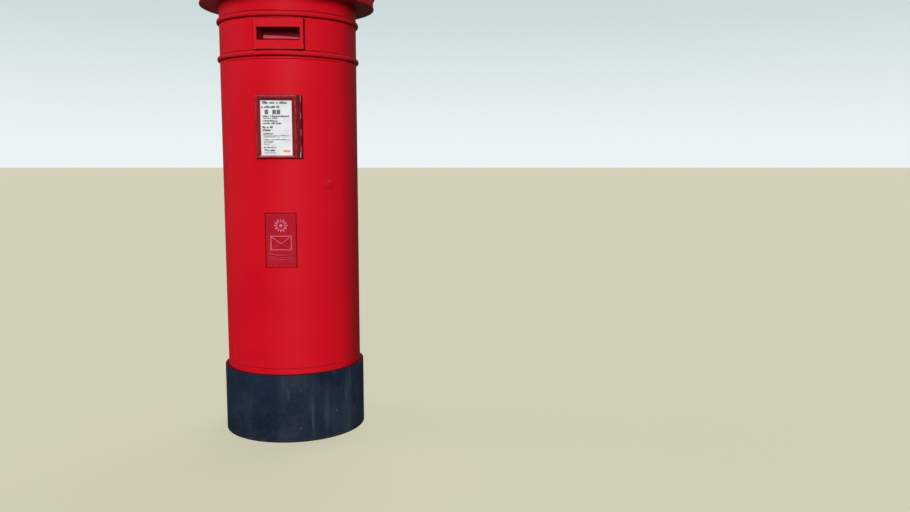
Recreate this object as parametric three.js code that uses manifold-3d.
// A pillar post box: a cast base, a round body with a letter slot, a domed cap, and a door that opens
// on swan-neck hinges hidden inside. Behind the door are a letter chute, a mail cage and a wire guard.
// Millimetres, +Z up. The front faces -Y, and the origin is the centre of the base's underside.
// Angles round the body are measured from the front towards +X.
import * as THREE from "three";
import { mergeVertices } from "three/addons/utils/BufferGeometryUtils.js";
import Module from "manifold-3d";

const wasm = await Module();
wasm.setup();

// ---- Driving dimensions ----

const SIDES = 48; // flats on the large round castings
const SMALL_SIDES = 10; // flats on pins and screws
const WIRE_SIDES = 6; // flats on wires
const GAP = 0.3; // left between pieces that touch
const WALL_GAP = 0.8; // left between a curved wall and what is bolted to it
const MERGE_DISTANCE = 1e-4;
const OVERCUT = 1; // how far a cutter runs past what it cuts
const DEEP = 200; // a depth behind the wall, from which blocks run out through it

const BASE = { radius: 254, height: 240, wall: 14, footInner: 205, flangeInner: 200, flange: 14 };
const BODY = {
  radius: 241.5, wall: 12, bottom: BASE.height + GAP, top: 1524.7, flangeInner: 200, flange: 12,
};
const BODY_BORE = BODY.radius - BODY.wall;
const RING = { height: 19, rise: 9, steps: 4, lowerMiddle: 1337, upperMiddle: 1466 };
const CAP = {
  underside: BODY.top + GAP, radius: 307, lip: 5, plate: 14, opening: 205,
  dentils: 52, dentilRadius: 305, dentilGapRadius: 299, dentilHeight: 30, dentilShare: 0.6,
  wallInner: 286, beadRadius: 311, beadHeight: 8,
  domeFootRise: 6, domeRadius: 300, domeRise: 77, domeSteps: 5, shell: 14,
};
const CASTING_BOLT = { circle: 217, first: 45, count: 4, shank: 6, length: 23.5, head: 10, headHeight: 8 };
const FLOOR = { radius: 226.5, thickness: 4 };

const DOOR = { halfAngle: 52, bottom: 261.5, top: 1318.5, seam: 1.5, edgeSlope: 0.6 };
const HINGE = {
  along: 26, depth: 23, heights: [400, 1150], armHeight: 28, arcInner: 36, arcOuter: 44, arcTurn: 115,
  knuckle: 8, pin: 5, running: 0.3, footEnd: 76, footFace: 5, footBack: -3, padStart: 40, padEnd: 78,
  padOuter: 12, padSpare: 10, earHeight: 9, earGap: 1, bracketEnd: 40, bracketPad: 22, bracketInner: 9,
  bracketOuter: 14, spokeWidth: 10, spokeTurn: 108, arcSteps: 10, pinHeadHeight: 4, pinTail: 2,
};
const ARM_BOLT = { shank: 4, length: 14, head: 7, headHeight: 4, reach: [50, 66] };
const BRACKET_BOLT = { shank: 5, length: 16, head: 9, headHeight: 5, along: 31 };

const LOCK = {
  angle: 40, height: 900, left: -40, right: 44, halfHeight: 40, padFace: 222.3, wall: 3, inner: 198,
  boltLeft: -20, boltRight: 46, boltOuter: 213, boltInner: 203, boltHalfHeight: 11.5, boltGap: 0.5,
};
const LOCK_SCREW = { shank: 2.5, length: 35, head: 4.5, headHeight: 3, inset: 7, rise: 32 };
const KEEPER = { left: 53, right: 73, inner: 199, halfHeight: 20, pocketDepth: 15 };
const BARREL = {
  radius: 8, inner: 214.5, outer: 245.5, running: 0.4, keyWidth: 3, keyLength: 9, keyDepth: 6, sides: 24,
};
const BOSS = { radius: 15, face: 246 };
const KEY_COVER = {
  radius: 10.5, pivotRise: 11.5, thickness: 2.4, eye: 4,
  pin: 1.8, pinDepth: 4, pinHead: 3.4, pinHeadHeight: 1.4,
};
const STOP = { from: 49.5, to: 58, thickness: 7, spans: { lower: [300, 840], upper: [960, 1290] } };

const SLOT_PLATE = { middle: 6.5, halfWidth: 83, face: 247, bottom: 1349, top: 1450 };
const SLOT = { halfWidth: 71.5, bottom: 1378, top: 1421, sillRise: 6.5, sillDepth: 8, roofGap: 4 };
const SLOT_SCREW = { shank: 3, length: 30, head: 5.5, headHeight: 3.5, across: 60, heights: [1361, 1441] };
const CHUTE = {
  halfWidth: 75.5, wall: 3, flangeFace: 208, flangeBottom: 1350, flangeTop: 1455,
  // [depth, height] outlines of the tunnel's outside and of the way through it
  outside: [[210, 1380], [140, 1380], [109, 1345], [51, 1345], [51, 1400], [86, 1433], [210, 1433]],
  inside: [[250, 1384], [138, 1384], [104, 1340], [54, 1340], [54, 1398.7], [87, 1429.5], [250, 1429.5]],
};
const FLAP = {
  pivotDepth: 142, pivotHeight: 1424.5, rod: 2, running: 0.3, knuckle: 4, halfWidth: 70, thickness: 2,
  bottom: 1387.5,
};

const NOTICE = {
  left: -75, right: 77.5, bottom: 988, top: 1197, face: 245, frameRight: 61.5, frameFace: 251.5,
};
const NOTICE_OPENING = { left: -58.5, right: 45.5, bottom: 998, top: 1180 };
const NOTICE_CARD = { margin: 3.5, thickness: 0.6 };
const NOTICE_WINDOW = { margin: 2, thickness: 2 };
const NOTICE_HINGE = {
  x: 73, depth: 249.6, knuckle: 4.3, pin: 2, running: 0.3, length: 21, pitch: 56, rise: 9, endGap: 0.5,
  webStart: 4, webSink: 1, pinEnd: 2,
};
const EMBLEM = { halfWidth: 50.5, bottom: 617, top: 801, face: 246 };

const GUARD = {
  hinge: [-128, -122], right: 132, bottom: 275, top: 1180, rod: 4, running: 0.4, stile: 7,
  frame: 4, wire: 2.5, wires: 5, rails: 4, bracketBottom: 1186, bracketHeight: 8, bracketReach: [-206, -98],
  bracketHalfWidth: 9, rodTail: 4,
};
const CAGE = {
  radius: 212, from: 68, to: 284, endTurn: 1, hoop: 3, wire: 2.5, wires: 8, lowestHoop: 12, top: 1175,
  hoops: 3, steps: 12,
};

const RED = 0xc8141f;
const DARK_RED = 0x8c2832;
const NAVY = 0x1e2a3a;
const STEEL = 0x9a9da0;
const GALVANISED = 0x8d9294;
const BRASS = 0xb08d4a;
const CARD = 0xe6e8e8;
const CLEAR = 0xdfe6e8;

const Z_AXIS = new THREE.Vector3(0, 0, 1);
const rad = THREE.MathUtils.degToRad;

// ---- Geometry helpers ----

// The closed geometry as a solid that can be joined and cut.
function solidFrom(geometry) {
  const bare = geometry.index ? geometry.toNonIndexed() : geometry.clone();
  bare.deleteAttribute("normal");
  bare.deleteAttribute("uv");
  const merged = mergeVertices(bare, MERGE_DISTANCE);
  const corners = merged.index.array;
  const kept = [];
  for (let i = 0; i < corners.length; i += 3) {
    const [a, b, c] = corners.slice(i, i + 3);
    if (a !== b && b !== c && c !== a) kept.push(a, b, c);
  }
  const vertProperties = merged.attributes.position.array;
  return new wasm.Manifold(new wasm.Mesh({ numProp: 3, vertProperties, triVerts: new Uint32Array(kept) }));
}

const joined = (solids) => solids.reduce((whole, solid) => whole.add(solid));

const cutBy = (solid, cutters) => cutters.reduce((rest, cutter) => rest.subtract(cutter), solid);

const ORIGIN_FRAME = new THREE.Matrix4();

// A block between its lowest and highest corners in a frame.
function block(low, high, frame = ORIGIN_FRAME) {
  const size = high.map((value, axis) => value - low[axis]);
  const middle = high.map((value, axis) => (value + low[axis]) / 2);
  return solidFrom(new THREE.BoxGeometry(...size).translate(...middle).applyMatrix4(frame));
}

// A round bar between two points in a frame.
function bar(from, to, radius, frame = ORIGIN_FRAME, sides = SMALL_SIDES) {
  const start = new THREE.Vector3(...from);
  const span = new THREE.Vector3(...to).sub(start);
  const turn = new THREE.Quaternion().setFromUnitVectors(Z_AXIS, span.clone().normalize());
  const geometry = new THREE.CylinderGeometry(radius, radius, span.length(), sides)
    .rotateX(Math.PI / 2)
    .translate(0, 0, span.length() / 2)
    .applyQuaternion(turn)
    .translate(start.x, start.y, start.z);
  return solidFrom(geometry.applyMatrix4(frame));
}

// A solid of revolution about the box's own axis, from a profile of [radius, height] points.
function turned(profile) {
  const points = profile.map(([radius, height]) => new THREE.Vector2(radius, height));
  return solidFrom(new THREE.LatheGeometry(points, SIDES).rotateX(Math.PI / 2));
}

// A full round column about the box's own axis, with the same flats as the castings.
function column(radius, low, high) {
  return turned([[0, low], [radius, low], [radius, high], [0, high]]);
}

// A plan outline drawn up from one height to another.
function prism(outline, low, high, frame = ORIGIN_FRAME) {
  const shape = new THREE.Shape(outline.map(([x, y]) => new THREE.Vector2(x, y)));
  const geometry = new THREE.ExtrudeGeometry(shape, { depth: high - low, bevelEnabled: false });
  return solidFrom(geometry.translate(0, 0, low).applyMatrix4(frame));
}

// An outline of [depth, height] points, depth being the distance in front of the axis, drawn out along X.
function crosswise(outline, left, right) {
  const shape = new THREE.Shape(outline.map(([depth, height]) => new THREE.Vector2(-depth, height)));
  const basis = new THREE.Matrix4().makeBasis(
    new THREE.Vector3(0, 1, 0), new THREE.Vector3(0, 0, 1), new THREE.Vector3(1, 0, 0),
  );
  const geometry = new THREE.ExtrudeGeometry(shape, { depth: right - left, bevelEnabled: false });
  return solidFrom(geometry.applyMatrix4(basis).translate(left, 0, 0));
}

// A round wire along a smooth curve.
function wireAlong(curve, radius, steps) {
  const section = new THREE.Shape();
  section.absarc(0, 0, radius, 0, 2 * Math.PI);
  const options = { steps, extrudePath: curve, curveSegments: WIRE_SIDES / 2, bevelEnabled: false };
  return solidFrom(new THREE.ExtrudeGeometry(section, options));
}

// A point on the plan at a radius and an angle from the front.
function planPoint(radius, degrees) {
  return [radius * Math.sin(rad(degrees)), -radius * Math.cos(rad(degrees))];
}

// A screw with a six-sided head below its seat and a round shank above it.
function screwSolid({ shank, length, head, headHeight }) {
  const headSolid = bar([0, 0, -headHeight], [0, 0, 0], head, ORIGIN_FRAME, 6);
  const shankSolid = bar([0, 0, -headHeight / 2], [0, 0, length], shank);
  return headSolid.add(shankSolid);
}

// The same screw's hole in the pieces it holds.
function screwHole(screw, seat, towards, frame = ORIGIN_FRAME) {
  const start = new THREE.Vector3(...seat);
  const end = start.clone().addScaledVector(new THREE.Vector3(...towards), screw.length + OVERCUT);
  return bar(start.toArray(), end.toArray(), screw.shank + GAP, frame);
}

// ---- Scene helpers ----

const postBox = new THREE.Group();

function material(color, roughness, metalness) {
  return new THREE.MeshStandardMaterial({ color, roughness, metalness });
}

function addMesh(group, name, solid, finish) {
  const { numProp, vertProperties, triVerts } = solid.getMesh();
  const geometry = new THREE.BufferGeometry();
  geometry.setAttribute("position", new THREE.BufferAttribute(new Float32Array(vertProperties), numProp));
  geometry.setIndex(new THREE.BufferAttribute(new Uint32Array(triVerts), 1));
  geometry.computeVertexNormals();
  const mesh = new THREE.Mesh(geometry, material(...finish));
  mesh.name = name;
  group.add(mesh);
  return mesh;
}

function addScrew(group, name, screw, seat, towards) {
  const mesh = addMesh(group, name, screwSolid(screw), [STEEL, 0.4, 0.9]);
  mesh.position.set(...seat);
  mesh.quaternion.setFromUnitVectors(Z_AXIS, new THREE.Vector3(...towards));
}

function subGroup(parent, frame = ORIGIN_FRAME) {
  const group = new THREE.Group();
  group.applyMatrix4(frame);
  parent.add(group);
  return group;
}

const PAINTED_RED = [RED, 0.45, 0.1];
const PAINTED_NAVY = [NAVY, 0.6, 0.1];
const PLAIN_STEEL = [STEEL, 0.45, 0.85];
const GALVANISED_WIRE = [GALVANISED, 0.5, 0.8];

// ---- Frames of the hinge and the lock ----

// The hinge frame stands at the pivot, its X running along the seam line towards the door's middle and
// its -Y pointing straight out through the wall at the hinge-side seam.
const HINGE_ANGLE = -DOOR.halfAngle;
const hingeSeam = planPoint(BODY.radius, HINGE_ANGLE);
const hingeOut = planPoint(1, HINGE_ANGLE);
const hingeAway = [hingeOut[1], -hingeOut[0]];
const PIVOT = hingeSeam.map(
  (value, axis) => value + HINGE.along * hingeAway[axis] - HINGE.depth * hingeOut[axis],
);
const HINGE_FRAME = new THREE.Matrix4()
  .makeTranslation(PIVOT[0], PIVOT[1], 0)
  .multiply(new THREE.Matrix4().makeRotationZ(rad(HINGE_ANGLE)));
const LOCK_FRAME = new THREE.Matrix4().makeRotationZ(rad(LOCK.angle));

// ---- Base, body and cap ----

// Seats of the four bolts that join one casting to the next.
function castingBoltSeats(height) {
  return Array.from({ length: CASTING_BOLT.count }, (_, index) => {
    const [x, y] = planPoint(CASTING_BOLT.circle, CASTING_BOLT.first + (360 / CASTING_BOLT.count) * index);
    return [x, y, height];
  });
}

const UP = [0, 0, 1];
const baseBoltSeats = castingBoltSeats(BASE.height - BASE.flange - GAP);
const capBoltSeats = castingBoltSeats(BODY.top - BODY.flange - GAP);
const baseBoltHoles = baseBoltSeats.map((seat) => screwHole(CASTING_BOLT, seat, UP));
const capBoltHoles = capBoltSeats.map((seat) => screwHole(CASTING_BOLT, seat, UP));

function addBase(group) {
  const inner = BASE.radius - BASE.wall;
  const shell = turned([
    [BASE.footInner, 0],
    [BASE.radius, 0],
    [BASE.radius, BASE.height],
    [BASE.flangeInner, BASE.height],
    [BASE.flangeInner, BASE.height - BASE.flange],
    [inner, BASE.height - BASE.flange],
    [inner, BASE.wall],
    [BASE.footInner, BASE.wall],
    [BASE.footInner, 0],
  ]);
  addMesh(group, "base_casting", cutBy(shell, baseBoltHoles), PAINTED_NAVY);
  baseBoltSeats.forEach((seat, index) => addScrew(group, `base_bolt_${index + 1}`, CASTING_BOLT, seat, UP));
}

// The half-round section of a ring that stands out from the body.
function ringSection(middle) {
  return Array.from({ length: RING.steps + 1 }, (_, step) => {
    const turn = (Math.PI * step) / RING.steps;
    return [BODY.radius + RING.rise * Math.sin(turn), middle - (RING.height / 2) * Math.cos(turn)];
  });
}

// The plan outline of the door's opening, with both seams moved outwards by a distance.
// The hinge-side edge leans so that it clears the jamb as the door turns.
function doorOutline(spare) {
  const hingeLine = (out) => hingeSeam.map(
    (value, axis) => value + (spare + DOOR.edgeSlope * out) * hingeAway[axis] + out * hingeOut[axis],
  );
  const lockOut = planPoint(1, DOOR.halfAngle);
  const lockAway = [-lockOut[1], lockOut[0]];
  const lockLine = (radius) => lockOut.map((value, axis) => radius * value + spare * lockAway[axis]);
  const beyond = 1.75 * BODY.radius;
  const inner = 0.6 * BODY.radius;
  const outer = 1.4 * BODY.radius;
  return [
    hingeLine(outer - BODY.radius),
    hingeLine(-BODY.radius / 4),
    lockLine(inner),
    lockLine(outer),
    [outer, -beyond],
    [-outer, -beyond],
  ];
}

function addBody(group) {
  const wall = turned([
    [BODY.flangeInner, BODY.bottom],
    [BODY.radius, BODY.bottom],
    ...ringSection(RING.lowerMiddle),
    ...ringSection(RING.upperMiddle),
    [BODY.radius, BODY.top],
    [CAP.opening, BODY.top],
    [CAP.opening, BODY.top - BODY.flange],
    [BODY_BORE, BODY.top - BODY.flange],
    [BODY_BORE, BODY.bottom + BODY.flange],
    [BODY.flangeInner, BODY.bottom + BODY.flange],
    [BODY.flangeInner, BODY.bottom],
  ]);
  const doorway = prism(doorOutline(0), DOOR.bottom - DOOR.seam, DOOR.top + DOOR.seam);
  const slotway = block(
    [SLOT_PLATE.middle - SLOT.halfWidth - OVERCUT, -SLOT_PLATE.face, SLOT.bottom],
    [SLOT_PLATE.middle + SLOT.halfWidth + OVERCUT, -DEEP, SLOT.top + SLOT.roofGap],
  );
  const holes = [...baseBoltHoles, ...capBoltHoles, ...slotScrewHoles, ...bracketBoltHoles];
  addMesh(group, "body_casting", cutBy(wall, [doorway, slotway, ...holes]), PAINTED_RED);
}

function addFloor(group) {
  const low = BODY.bottom + BODY.flange + GAP;
  addMesh(group, "floor_plate", column(FLOOR.radius, low, low + FLOOR.thickness), PLAIN_STEEL);
}

const CAP_BOTTOM_OF_BEAD = CAP.underside + CAP.lip + CAP.dentilHeight;
const CAP_TOP_OF_BEAD = CAP_BOTTOM_OF_BEAD + CAP.beadHeight;
const DOME_FOOT = CAP_TOP_OF_BEAD + CAP.domeFootRise;

// A quarter of a low ellipse, from the dome's foot to its crown.
function domeProfile(radius, foot) {
  return Array.from({ length: CAP.domeSteps + 1 }, (_, step) => {
    const turn = (Math.PI / 2) * (step / CAP.domeSteps);
    const last = step === CAP.domeSteps;
    return [last ? 0 : radius * Math.cos(turn), foot + CAP.domeRise * Math.sin(turn)];
  });
}

// The band of small blocks under the cap's bead, as one ring with a toothed outline.
function dentilBand() {
  const pitch = 360 / CAP.dentils;
  const outline = Array.from({ length: CAP.dentils }, (_, index) => {
    const start = index * pitch;
    const end = start + pitch * CAP.dentilShare;
    return [
      planPoint(CAP.dentilGapRadius, start),
      planPoint(CAP.dentilRadius, start),
      planPoint(CAP.dentilRadius, end),
      planPoint(CAP.dentilGapRadius, end),
    ];
  }).flat();
  const low = CAP.underside + CAP.lip;
  const band = prism(outline, low - OVERCUT, CAP_BOTTOM_OF_BEAD + OVERCUT);
  const middle = (CAP.wallInner + CAP.dentilGapRadius) / 2;
  return band.subtract(column(middle, low - 2 * OVERCUT, CAP_BOTTOM_OF_BEAD + 2 * OVERCUT));
}

function addCap(group) {
  const shell = turned([
    [CAP.opening, CAP.underside],
    [CAP.radius, CAP.underside],
    [CAP.radius, CAP.underside + CAP.lip],
    [CAP.dentilGapRadius, CAP.underside + CAP.lip],
    [CAP.dentilGapRadius, CAP_BOTTOM_OF_BEAD],
    [CAP.beadRadius, CAP_BOTTOM_OF_BEAD],
    [CAP.beadRadius, CAP_TOP_OF_BEAD],
    ...domeProfile(CAP.domeRadius, DOME_FOOT),
    ...domeProfile(CAP.wallInner, DOME_FOOT - CAP.shell).reverse(),
    [CAP.wallInner, CAP.underside + CAP.plate],
    [CAP.opening, CAP.underside + CAP.plate],
    [CAP.opening, CAP.underside],
  ]);
  addMesh(group, "cap_casting", cutBy(shell.add(dentilBand()), capBoltHoles), PAINTED_RED);
  capBoltSeats.forEach((seat, index) => addScrew(group, `cap_bolt_${index + 1}`, CASTING_BOLT, seat, UP));
}

// ---- Letter slot, chute and flap ----

const OUTWARD = [0, -1, 0];
const slotScrewSeats = [-1, 1].flatMap((side) =>
  SLOT_SCREW.heights.map((height) => [
    SLOT_PLATE.middle + side * SLOT_SCREW.across, -CHUTE.flangeFace + GAP, height,
  ]),
);
const slotScrewHoles = slotScrewSeats.map((seat) => screwHole(SLOT_SCREW, seat, OUTWARD));

// What stands in front of the body's wall.
const outsideWall = (solid) => solid.subtract(column(BODY.radius + GAP, 0, CAP.underside));

// What lies inside the body's bore, clear of its flats.
const insideWall = (solid) => solid.intersect(column(BODY_BORE - WALL_GAP, 0, CAP.underside));

function addSlotPlate(group) {
  const { middle, halfWidth, face, bottom, top } = SLOT_PLATE;
  const plate = outsideWall(block([middle - halfWidth, -face, bottom], [middle + halfWidth, -DEEP, top]));
  const slot = crosswise(
    [
      [face + OVERCUT, SLOT.bottom - (OVERCUT * SLOT.sillRise) / SLOT.sillDepth],
      [face - SLOT.sillDepth, SLOT.bottom + SLOT.sillRise],
      [DEEP, SLOT.bottom + SLOT.sillRise],
      [DEEP, SLOT.top],
      [face + OVERCUT, SLOT.top],
    ],
    middle - SLOT.halfWidth,
    middle + SLOT.halfWidth,
  );
  addMesh(group, "aperture_plate", cutBy(plate, [slot, ...slotScrewHoles]), PAINTED_RED);
  slotScrewSeats.forEach((seat, index) => {
    addScrew(group, `aperture_screw_${index + 1}`, SLOT_SCREW, seat, OUTWARD);
  });
}

// The chute takes a letter back past the guard, then lets it drop; its hood keeps hands and rain out.
function addChute(group) {
  const { halfWidth, wall, flangeFace, flangeBottom, flangeTop, outside, inside } = CHUTE;
  const left = SLOT_PLATE.middle - halfWidth;
  const right = SLOT_PLATE.middle + halfWidth;
  const flange = insideWall(block([left, -BODY.radius, flangeBottom], [right, -flangeFace, flangeTop]));
  const tunnel = crosswise(outside, left, right);
  const passage = crosswise(inside, left + wall, right - wall);
  const rodHole = bar(
    [left - OVERCUT, -FLAP.pivotDepth, FLAP.pivotHeight],
    [right + OVERCUT, -FLAP.pivotDepth, FLAP.pivotHeight],
    FLAP.rod + FLAP.running,
  );
  const chute = cutBy(flange.add(tunnel), [passage, rodHole, ...slotScrewHoles]);
  addMesh(group, "letter_chute", chute, [GALVANISED, 0.5, 0.8]);
}

function addFlap(group) {
  const { pivotDepth, pivotHeight, rod, running, knuckle, halfWidth, thickness, bottom } = FLAP;
  const left = SLOT_PLATE.middle - halfWidth;
  const right = SLOT_PLATE.middle + halfWidth;
  const bladeFace = pivotDepth + thickness / 2;
  const blade = block([left, -bladeFace, bottom], [right, -bladeFace + thickness, pivotHeight]);
  const onPivot = (x) => [x, -pivotDepth, pivotHeight];
  const along = (from, to, radius) => bar(onPivot(from), onPivot(to), radius);
  const barrel = along(left, right, knuckle);
  const bore = along(left - OVERCUT, right + OVERCUT, rod + running);
  addMesh(group, "chute_flap", blade.add(barrel).subtract(bore), PAINTED_RED);
  const reach = CHUTE.halfWidth;
  const rodSolid = bar([-reach, 0, 0], [reach, 0, 0], rod);
  const rodMesh = addMesh(group, "flap_rod", rodSolid, PLAIN_STEEL);
  rodMesh.position.set(SLOT_PLATE.middle, -pivotDepth, pivotHeight);
}

// ---- Mail cage and wire guard ----

const FLOOR_TOP = BODY.bottom + BODY.flange + FLOOR.thickness + 2 * GAP;

function addCage(group) {
  const { radius, from, to, endTurn, hoop, wire, wires, top, hoops, steps } = CAGE;
  const lowestHoop = FLOOR_TOP + CAGE.lowestHoop;
  const pieces = [];
  for (let index = 0; index < hoops; index += 1) {
    const height = lowestHoop + ((top - lowestHoop) * index) / (hoops - 1);
    const points = Array.from({ length: steps + 1 }, (_, step) => {
      const [x, y] = planPoint(radius, from + ((to - from) * step) / steps);
      return new THREE.Vector3(x, y, height);
    });
    pieces.push(wireAlong(new THREE.CatmullRomCurve3(points), hoop, steps));
  }
  for (let index = 0; index < wires; index += 1) {
    const [x, y] = planPoint(radius, from + endTurn + ((to - from - 2 * endTurn) * index) / (wires - 1));
    pieces.push(bar([x, y, FLOOR_TOP], [x, y, top + hoop], wire, ORIGIN_FRAME, WIRE_SIDES));
  }
  addMesh(group, "mail_cage", joined(pieces), GALVANISED_WIRE);
}

// The guard is a flat wire gate that hangs on its own rod behind the door.
function addGuard(fixed, moving) {
  const { hinge, right, bottom, top, rod, running, stile, frame, wire, wires, rails } = GUARD;
  const [left, y] = hinge;
  const pieces = [
    bar([left, y, bottom], [left, y, top], stile),
    bar([right, y, bottom], [right, y, top], frame),
  ];
  for (let index = 0; index < rails; index += 1) {
    const height = bottom + frame + ((top - bottom - 2 * frame) * index) / (rails - 1);
    const start = left + stile - OVERCUT;
    pieces.push(bar([start, y, height], [right, y, height], frame, ORIGIN_FRAME, WIRE_SIDES));
  }
  for (let index = 1; index <= wires; index += 1) {
    const x = left + ((right - left) * index) / (wires + 1);
    pieces.push(bar([x, y, bottom + frame], [x, y, top - frame], wire, ORIGIN_FRAME, WIRE_SIDES));
  }
  const bore = bar([left, y, bottom - OVERCUT], [left, y, top + OVERCUT], rod + running);
  addMesh(moving, "guard_gate", joined(pieces).subtract(bore), GALVANISED_WIRE);

  const bracketTop = GUARD.bracketBottom + GUARD.bracketHeight;
  const rodSolid = bar([0, 0, 0], [0, 0, bracketTop + GUARD.rodTail - FLOOR_TOP], rod);
  addMesh(fixed, "guard_pivot_rod", rodSolid, PLAIN_STEEL).position.set(left, y, FLOOR_TOP);

  const wallEnd = GUARD.bracketReach;
  const width = GUARD.bracketHalfWidth;
  const turn = Math.atan2(wallEnd[1] - y, wallEnd[0] - left);
  const across = [-Math.sin(turn) * width, Math.cos(turn) * width];
  const arm = prism(
    [
      [left + across[0], y + across[1]],
      [wallEnd[0] + across[0], wallEnd[1] + across[1]],
      [wallEnd[0] - across[0], wallEnd[1] - across[1]],
      [left - across[0], y - across[1]],
    ],
    GUARD.bracketBottom,
    bracketTop,
  );
  const eye = bar([left, y, GUARD.bracketBottom], [left, y, bracketTop], width);
  const hole = bar([left, y, GUARD.bracketBottom - OVERCUT], [left, y, bracketTop + OVERCUT], rod + GAP);
  addMesh(fixed, "guard_rod_bracket", insideWall(arm.add(eye)).subtract(hole), PLAIN_STEEL);
}

// ---- Hinges ----

// A sector of a ring about the pivot, in the hinge frame, turning inwards from the foot of the arm.
function arcOutline() {
  const sweep = (radius, order) => order.map((step) => {
    const turn = rad((HINGE.arcTurn * step) / HINGE.arcSteps);
    return [radius * Math.cos(turn), radius * Math.sin(turn)];
  });
  const forward = Array.from({ length: HINGE.arcSteps + 1 }, (_, step) => step);
  return [...sweep(HINGE.arcOuter, forward), ...sweep(HINGE.arcInner, [...forward].reverse())];
}

const hingeArmSeats = HINGE.heights.flatMap((height) =>
  ARM_BOLT.reach.map((reach) => [reach, HINGE.footFace + GAP, height]),
);
const armBoltHoles = hingeArmSeats.map((seat) => screwHole(ARM_BOLT, seat, OUTWARD, HINGE_FRAME));
const bracketBoltSeats = HINGE.heights.map(
  (height) => [-BRACKET_BOLT.along, HINGE.bracketInner + GAP, height],
);
const bracketBoltHoles = bracketBoltSeats.map((seat) => screwHole(BRACKET_BOLT, seat, OUTWARD, HINGE_FRAME));

// One swan-neck arm: a foot on the door, an arc that passes round the jamb, a spoke and a knuckle.
function hingeArm(height) {
  const low = height - HINGE.armHeight / 2;
  const high = height + HINGE.armHeight / 2;
  const arc = prism(arcOutline(), low, high, HINGE_FRAME);
  const foot = block(
    [HINGE.arcInner, HINGE.footBack, low], [HINGE.footEnd, HINGE.footFace, high], HINGE_FRAME,
  );
  const spokeFrame = HINGE_FRAME.clone().multiply(new THREE.Matrix4().makeRotationZ(rad(HINGE.spokeTurn)));
  const spokeEnd = (HINGE.arcInner + HINGE.arcOuter) / 2;
  const spoke = block([0, -HINGE.spokeWidth / 2, low], [spokeEnd, HINGE.spokeWidth / 2, high], spokeFrame);
  const knuckle = bar([0, 0, low], [0, 0, high], HINGE.knuckle, HINGE_FRAME);
  const bore = bar([0, 0, low - OVERCUT], [0, 0, high + OVERCUT], HINGE.pin + HINGE.running, HINGE_FRAME);
  return cutBy(joined([arc, foot, spoke, knuckle]), [bore, ...armBoltHoles]);
}

// One bracket on the body: two ears that hold the pin, and a pad against the wall.
function hingeBracket(height) {
  const { armHeight, earHeight, earGap, bracketEnd, bracketPad, bracketInner, knuckle, pin } = HINGE;
  const low = height - armHeight / 2 - earGap;
  const high = height + armHeight / 2 + earGap;
  const outer = -HINGE.bracketOuter;
  const ears = [[low - earHeight, low], [high, high + earHeight]].map(([bottom, top]) =>
    block([-bracketEnd, outer, bottom], [0, bracketInner, top], HINGE_FRAME)
      .add(bar([0, 0, bottom], [0, 0, top], knuckle + earGap, HINGE_FRAME)),
  );
  const pad = block(
    [-bracketEnd, outer, low - earHeight], [-bracketPad, bracketInner, high + earHeight], HINGE_FRAME,
  );
  const boreReach = earHeight + OVERCUT;
  const bore = bar([0, 0, low - boreReach], [0, 0, high + boreReach], pin + GAP, HINGE_FRAME);
  return cutBy(insideWall(joined([...ears, pad])), [bore, ...bracketBoltHoles]);
}

function hingePin() {
  const half = HINGE.armHeight / 2 + HINGE.earGap + HINGE.earHeight;
  return bar([0, 0, -half - HINGE.pinTail], [0, 0, half + GAP], HINGE.pin)
    .add(bar([0, 0, half + GAP], [0, 0, half + HINGE.pinHeadHeight], HINGE.knuckle));
}

function addHinges(fixed, moving) {
  const fixedFrame = subGroup(fixed, HINGE_FRAME);
  const movingFrame = subGroup(moving, HINGE_FRAME);
  ["lower", "upper"].forEach((place, index) => {
    const height = HINGE.heights[index];
    addMesh(moving, `hinge_arm_${place}`, hingeArm(height), PLAIN_STEEL);
    addMesh(fixed, `hinge_bracket_${place}`, hingeBracket(height), PLAIN_STEEL);
    addMesh(fixedFrame, `hinge_pin_${place}`, hingePin(), PLAIN_STEEL).position.set(0, 0, height);
    addScrew(fixedFrame, `bracket_bolt_${place}`, BRACKET_BOLT, bracketBoltSeats[index], OUTWARD);
  });
  hingeArmSeats.forEach((seat, index) => {
    addScrew(movingFrame, `hinge_arm_bolt_${index + 1}`, ARM_BOLT, seat, OUTWARD);
  });
}

// ---- Lock ----

const LOCK_BOTTOM = LOCK.height - LOCK.halfHeight;
const LOCK_TOP = LOCK.height + LOCK.halfHeight;
const CASE_FACE = LOCK.padFace - GAP;
const lockScrewSeats = [LOCK.left + LOCK_SCREW.inset, LOCK.right - LOCK_SCREW.inset].flatMap((x) =>
  [-LOCK_SCREW.rise, LOCK_SCREW.rise].map((rise) => [
    x, -LOCK.inner + 2 * GAP + LOCK.wall, LOCK.height + rise,
  ]),
);
const lockScrewHoles = lockScrewSeats.map((seat) => screwHole(LOCK_SCREW, seat, OUTWARD, LOCK_FRAME));
const barrelHole = bar(
  [0, -BARREL.inner, LOCK.height], [0, -BOSS.face - OVERCUT, LOCK.height],
  BARREL.radius + BARREL.running, LOCK_FRAME, BARREL.sides,
);

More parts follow.
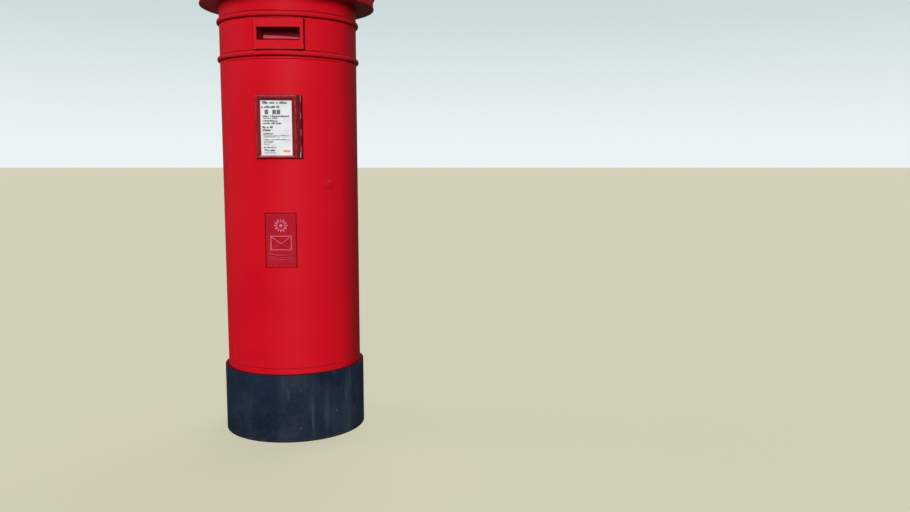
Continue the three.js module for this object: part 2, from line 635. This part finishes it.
function addLockCase(group) {
  const { left, right, wall, inner } = LOCK;
  const shell = block([left, -CASE_FACE, LOCK_BOTTOM], [right, -inner, LOCK_TOP], LOCK_FRAME);
  const hollow = block(
    [left + wall, -CASE_FACE + wall, LOCK_BOTTOM + wall],
    [right - wall, -inner + OVERCUT, LOCK_TOP - wall],
    LOCK_FRAME,
  );
  const reach = LOCK.boltHalfHeight + LOCK.boltGap;
  const boltway = block(
    [right - wall - OVERCUT, -LOCK.boltOuter - LOCK.boltGap, LOCK.height - reach],
    [right + OVERCUT, -LOCK.boltInner + LOCK.boltGap, LOCK.height + reach],
    LOCK_FRAME,
  );
  addMesh(group, "lock_case", cutBy(shell, [hollow, boltway, barrelHole, ...lockScrewHoles]), PLAIN_STEEL);
  const cover = block(
    [left, -inner + GAP, LOCK_BOTTOM], [right, -inner + GAP + wall, LOCK_TOP], LOCK_FRAME,
  );
  addMesh(group, "lock_cover", cutBy(cover, lockScrewHoles), PLAIN_STEEL);
  const screwGroup = subGroup(group, LOCK_FRAME);
  lockScrewSeats.forEach((seat, index) => {
    addScrew(screwGroup, `lock_screw_${index + 1}`, LOCK_SCREW, seat, OUTWARD);
  });
}

function addLockBolt(group) {
  const bolt = block(
    [LOCK.boltLeft, -LOCK.boltOuter, -LOCK.boltHalfHeight],
    [LOCK.boltRight, -LOCK.boltInner, LOCK.boltHalfHeight],
  );
  addMesh(subGroup(group, LOCK_FRAME), "lock_bolt", bolt, [BRASS, 0.4, 0.9]).position.set(0, 0, LOCK.height);
}

function addKeyBarrel(group) {
  const body = bar([0, -BARREL.inner, 0], [0, -BARREL.outer, 0], BARREL.radius, ORIGIN_FRAME, BARREL.sides);
  const keyway = block(
    [-BARREL.keyWidth / 2, -BARREL.outer - OVERCUT, -BARREL.keyLength / 2],
    [BARREL.keyWidth / 2, -BARREL.outer + BARREL.keyDepth, BARREL.keyLength / 2],
  );
  const mesh = addMesh(subGroup(group, LOCK_FRAME), "key_barrel", body.subtract(keyway), [BRASS, 0.35, 0.9]);
  mesh.position.set(0, 0, LOCK.height);
}

function addKeeper(group) {
  const { left, right, inner, halfHeight, pocketDepth } = KEEPER;
  const low = LOCK.height - halfHeight;
  const high = LOCK.height + halfHeight;
  const body = insideWall(block([left, -BODY.radius, low], [right, -inner, high], LOCK_FRAME));
  const reach = LOCK.boltHalfHeight + LOCK.boltGap;
  const pocket = block(
    [left - OVERCUT, -LOCK.boltOuter - LOCK.boltGap, LOCK.height - reach],
    [left + pocketDepth, -LOCK.boltInner + LOCK.boltGap, LOCK.height + reach],
    LOCK_FRAME,
  );
  addMesh(group, "lock_keeper", body.subtract(pocket), PLAIN_STEEL);
}

function addKeyhole(doorGroup, coverGroup) {
  const pivotHeight = LOCK.height + KEY_COVER.pivotRise;
  const pinHole = bar(
    [0, -BOSS.face + KEY_COVER.pinDepth + OVERCUT, pivotHeight], [0, -BOSS.face - OVERCUT, pivotHeight],
    KEY_COVER.pin + GAP, LOCK_FRAME,
  );
  const boss = bar(
    [0, -DEEP, LOCK.height], [0, -BOSS.face, LOCK.height], BOSS.radius, LOCK_FRAME, BARREL.sides,
  );
  addMesh(doorGroup, "keyhole_boss", cutBy(outsideWall(boss), [barrelHole, pinHole]), PAINTED_RED);

  const back = BOSS.face + 2 * GAP;
  const front = back + KEY_COVER.thickness;
  const disc = bar(
    [0, -back, LOCK.height], [0, -front, LOCK.height], KEY_COVER.radius, LOCK_FRAME, BARREL.sides,
  );
  const eye = bar([0, -back, pivotHeight], [0, -front, pivotHeight], KEY_COVER.eye, LOCK_FRAME);
  const hole = bar(
    [0, -back + OVERCUT, pivotHeight], [0, -front - OVERCUT, pivotHeight], KEY_COVER.pin + GAP, LOCK_FRAME,
  );
  addMesh(coverGroup, "keyhole_cover", disc.add(eye).subtract(hole), PAINTED_RED);

  const headBack = front + 2 * GAP;
  const headFront = headBack + KEY_COVER.pinHeadHeight;
  const shankEnd = (headBack + headFront) / 2;
  const shank = bar([0, -BOSS.face + KEY_COVER.pinDepth, 0], [0, -shankEnd, 0], KEY_COVER.pin);
  const head = bar([0, -headBack, 0], [0, -headFront, 0], KEY_COVER.pinHead);
  const pin = addMesh(subGroup(doorGroup, LOCK_FRAME), "keyhole_cover_pin", shank.add(head), PLAIN_STEEL);
  pin.position.set(0, 0, pivotHeight);
}

// Strips behind the lock-side edge that stop the door from going inwards.
function addDoorStops(group) {
  const turns = [STOP.from, (STOP.from + STOP.to) / 2, STOP.to];
  const outerSide = turns.map((turn) => planPoint(BODY.radius, turn));
  const innerSide = turns.map((turn) => planPoint(BODY_BORE - WALL_GAP - STOP.thickness, turn)).reverse();
  Object.entries(STOP.spans).forEach(([place, [low, high]]) => {
    const strip = insideWall(prism([...outerSide, ...innerSide], low, high));
    addMesh(group, `door_stop_${place}`, strip, PLAIN_STEEL);
  });
}

// ---- Door, emblem and notice ----

function addDoor(group) {
  const tube = turned([
    [BODY_BORE, DOOR.bottom],
    [BODY.radius, DOOR.bottom],
    [BODY.radius, DOOR.top],
    [BODY_BORE, DOOR.top],
    [BODY_BORE, DOOR.bottom],
  ]);
  const shell = tube.intersect(prism(doorOutline(-DOOR.seam), DOOR.bottom - OVERCUT, DOOR.top + OVERCUT));
  const padBack = BODY_BORE + BODY.wall / 4;
  const lockPad = block(
    [LOCK.left, -padBack, LOCK_BOTTOM], [LOCK.right, -LOCK.padFace, LOCK_TOP], LOCK_FRAME,
  );
  const armPads = HINGE.heights.map((height) => block(
    [HINGE.padStart, -HINGE.padOuter, height - HINGE.armHeight / 2 - HINGE.padSpare],
    [HINGE.padEnd, HINGE.footBack - GAP, height + HINGE.armHeight / 2 + HINGE.padSpare],
    HINGE_FRAME,
  ));
  const door = joined([shell, lockPad, ...armPads]);
  addMesh(group, "door_casting", cutBy(door, [barrelHole, ...lockScrewHoles, ...armBoltHoles]), PAINTED_RED);
}

function addEmblem(group) {
  const { halfWidth, bottom, top, face } = EMBLEM;
  const plate = block([-halfWidth, -face, bottom], [halfWidth, -DEEP, top]);
  addMesh(group, "emblem_plate", outsideWall(plate), PAINTED_RED);
}

const KNUCKLE_MIDDLE = (NOTICE.bottom + NOTICE.top) / 2 + NOTICE_HINGE.rise;

// A hinge knuckle of the notice, with a web that ties it to its leaf.
function noticeKnuckle(low, high, webFrom, webTo) {
  const { x, depth, knuckle } = NOTICE_HINGE;
  return bar([x, -depth, low], [x, -depth, high], knuckle).add(block([...webFrom, low], [...webTo, high]));
}

function addNotice(doorGroup, frameGroup) {
  const { x, depth, pin, running, length, pitch } = NOTICE_HINGE;
  const { left, right, bottom, top, face, frameRight, frameFace } = NOTICE;
  const pinBore = bar([x, -depth, bottom - OVERCUT], [x, -depth, top + OVERCUT], pin + running);

  const trayReach = (pitch - length) / 2 - NOTICE_HINGE.endGap;
  const trayKnuckles = [-1, 0, 1].map((step) => noticeKnuckle(
    KNUCKLE_MIDDLE + step * pitch - trayReach,
    KNUCKLE_MIDDLE + step * pitch + trayReach,
    [x - NOTICE_HINGE.webStart, -depth],
    [right, -face + NOTICE_HINGE.webSink],
  ));
  const tray = outsideWall(block([left, -face, bottom], [right, -DEEP, top]));
  addMesh(doorGroup, "notice_tray", joined([tray, ...trayKnuckles]).subtract(pinBore), [DARK_RED, 0.5, 0.1]);

  const cardFace = face + GAP + NOTICE_CARD.thickness;
  const card = block(
    [NOTICE_OPENING.left - NOTICE_CARD.margin, -cardFace, NOTICE_OPENING.bottom - NOTICE_CARD.margin],
    [NOTICE_OPENING.right + NOTICE_CARD.margin, -face - GAP, NOTICE_OPENING.top + NOTICE_CARD.margin],
  );
  addMesh(doorGroup, "notice_card", card, [CARD, 0.8, 0]);

  const frameBack = cardFace + GAP;
  const windowFace = frameBack + NOTICE_WINDOW.thickness;
  const leaf = block([left, -frameFace, bottom], [frameRight, -frameBack, top]);
  const opening = block(
    [NOTICE_OPENING.left, -frameFace - OVERCUT, NOTICE_OPENING.bottom],
    [NOTICE_OPENING.right, -frameBack + OVERCUT, NOTICE_OPENING.top],
  );
  const rebateMargin = NOTICE_WINDOW.margin + GAP;
  const rebate = block(
    [NOTICE_OPENING.left - rebateMargin, -windowFace - GAP, NOTICE_OPENING.bottom - rebateMargin],
    [NOTICE_OPENING.right + rebateMargin, -frameBack + OVERCUT, NOTICE_OPENING.top + rebateMargin],
  );
  const frameKnuckles = [-1.5, -0.5, 0.5, 1.5].map((step) => noticeKnuckle(
    KNUCKLE_MIDDLE + step * pitch - length / 2,
    KNUCKLE_MIDDLE + step * pitch + length / 2,
    [frameRight - OVERCUT, -frameFace],
    [x, -depth + pin],
  ));
  const frame = cutBy(joined([leaf, ...frameKnuckles]), [opening, rebate, pinBore]);
  addMesh(frameGroup, "notice_frame", frame, [DARK_RED, 0.5, 0.1]);

  const { margin } = NOTICE_WINDOW;
  const pane = block(
    [NOTICE_OPENING.left - margin, -windowFace, NOTICE_OPENING.bottom - margin],
    [NOTICE_OPENING.right + margin, -frameBack, NOTICE_OPENING.top + margin],
  );
  addMesh(frameGroup, "notice_window", pane, [CLEAR, 0.1, 0]);

  const pinSolid = bar([0, 0, bottom + NOTICE_HINGE.pinEnd], [0, 0, top - NOTICE_HINGE.pinEnd], pin);
  addMesh(doorGroup, "notice_hinge_pin", pinSolid, PLAIN_STEEL).position.set(x, -depth, 0);
}

// ---- Assembly ----

const carcass = subGroup(postBox);
const door = subGroup(postBox);
const noticeFrame = subGroup(door);
const keyholeCover = subGroup(door);
const guard = subGroup(carcass);

addBase(carcass);
addBody(carcass);
addFloor(carcass);
addCap(carcass);
addSlotPlate(carcass);
addChute(carcass);
addFlap(carcass);
addCage(carcass);
addGuard(carcass, guard);
addHinges(carcass, door);
addKeeper(carcass);
addDoorStops(carcass);
addDoor(door);
addLockCase(door);
addLockBolt(door);
addKeyBarrel(door);
addKeyhole(door, keyholeCover);
addEmblem(door);
addNotice(door, noticeFrame);

export default postBox;
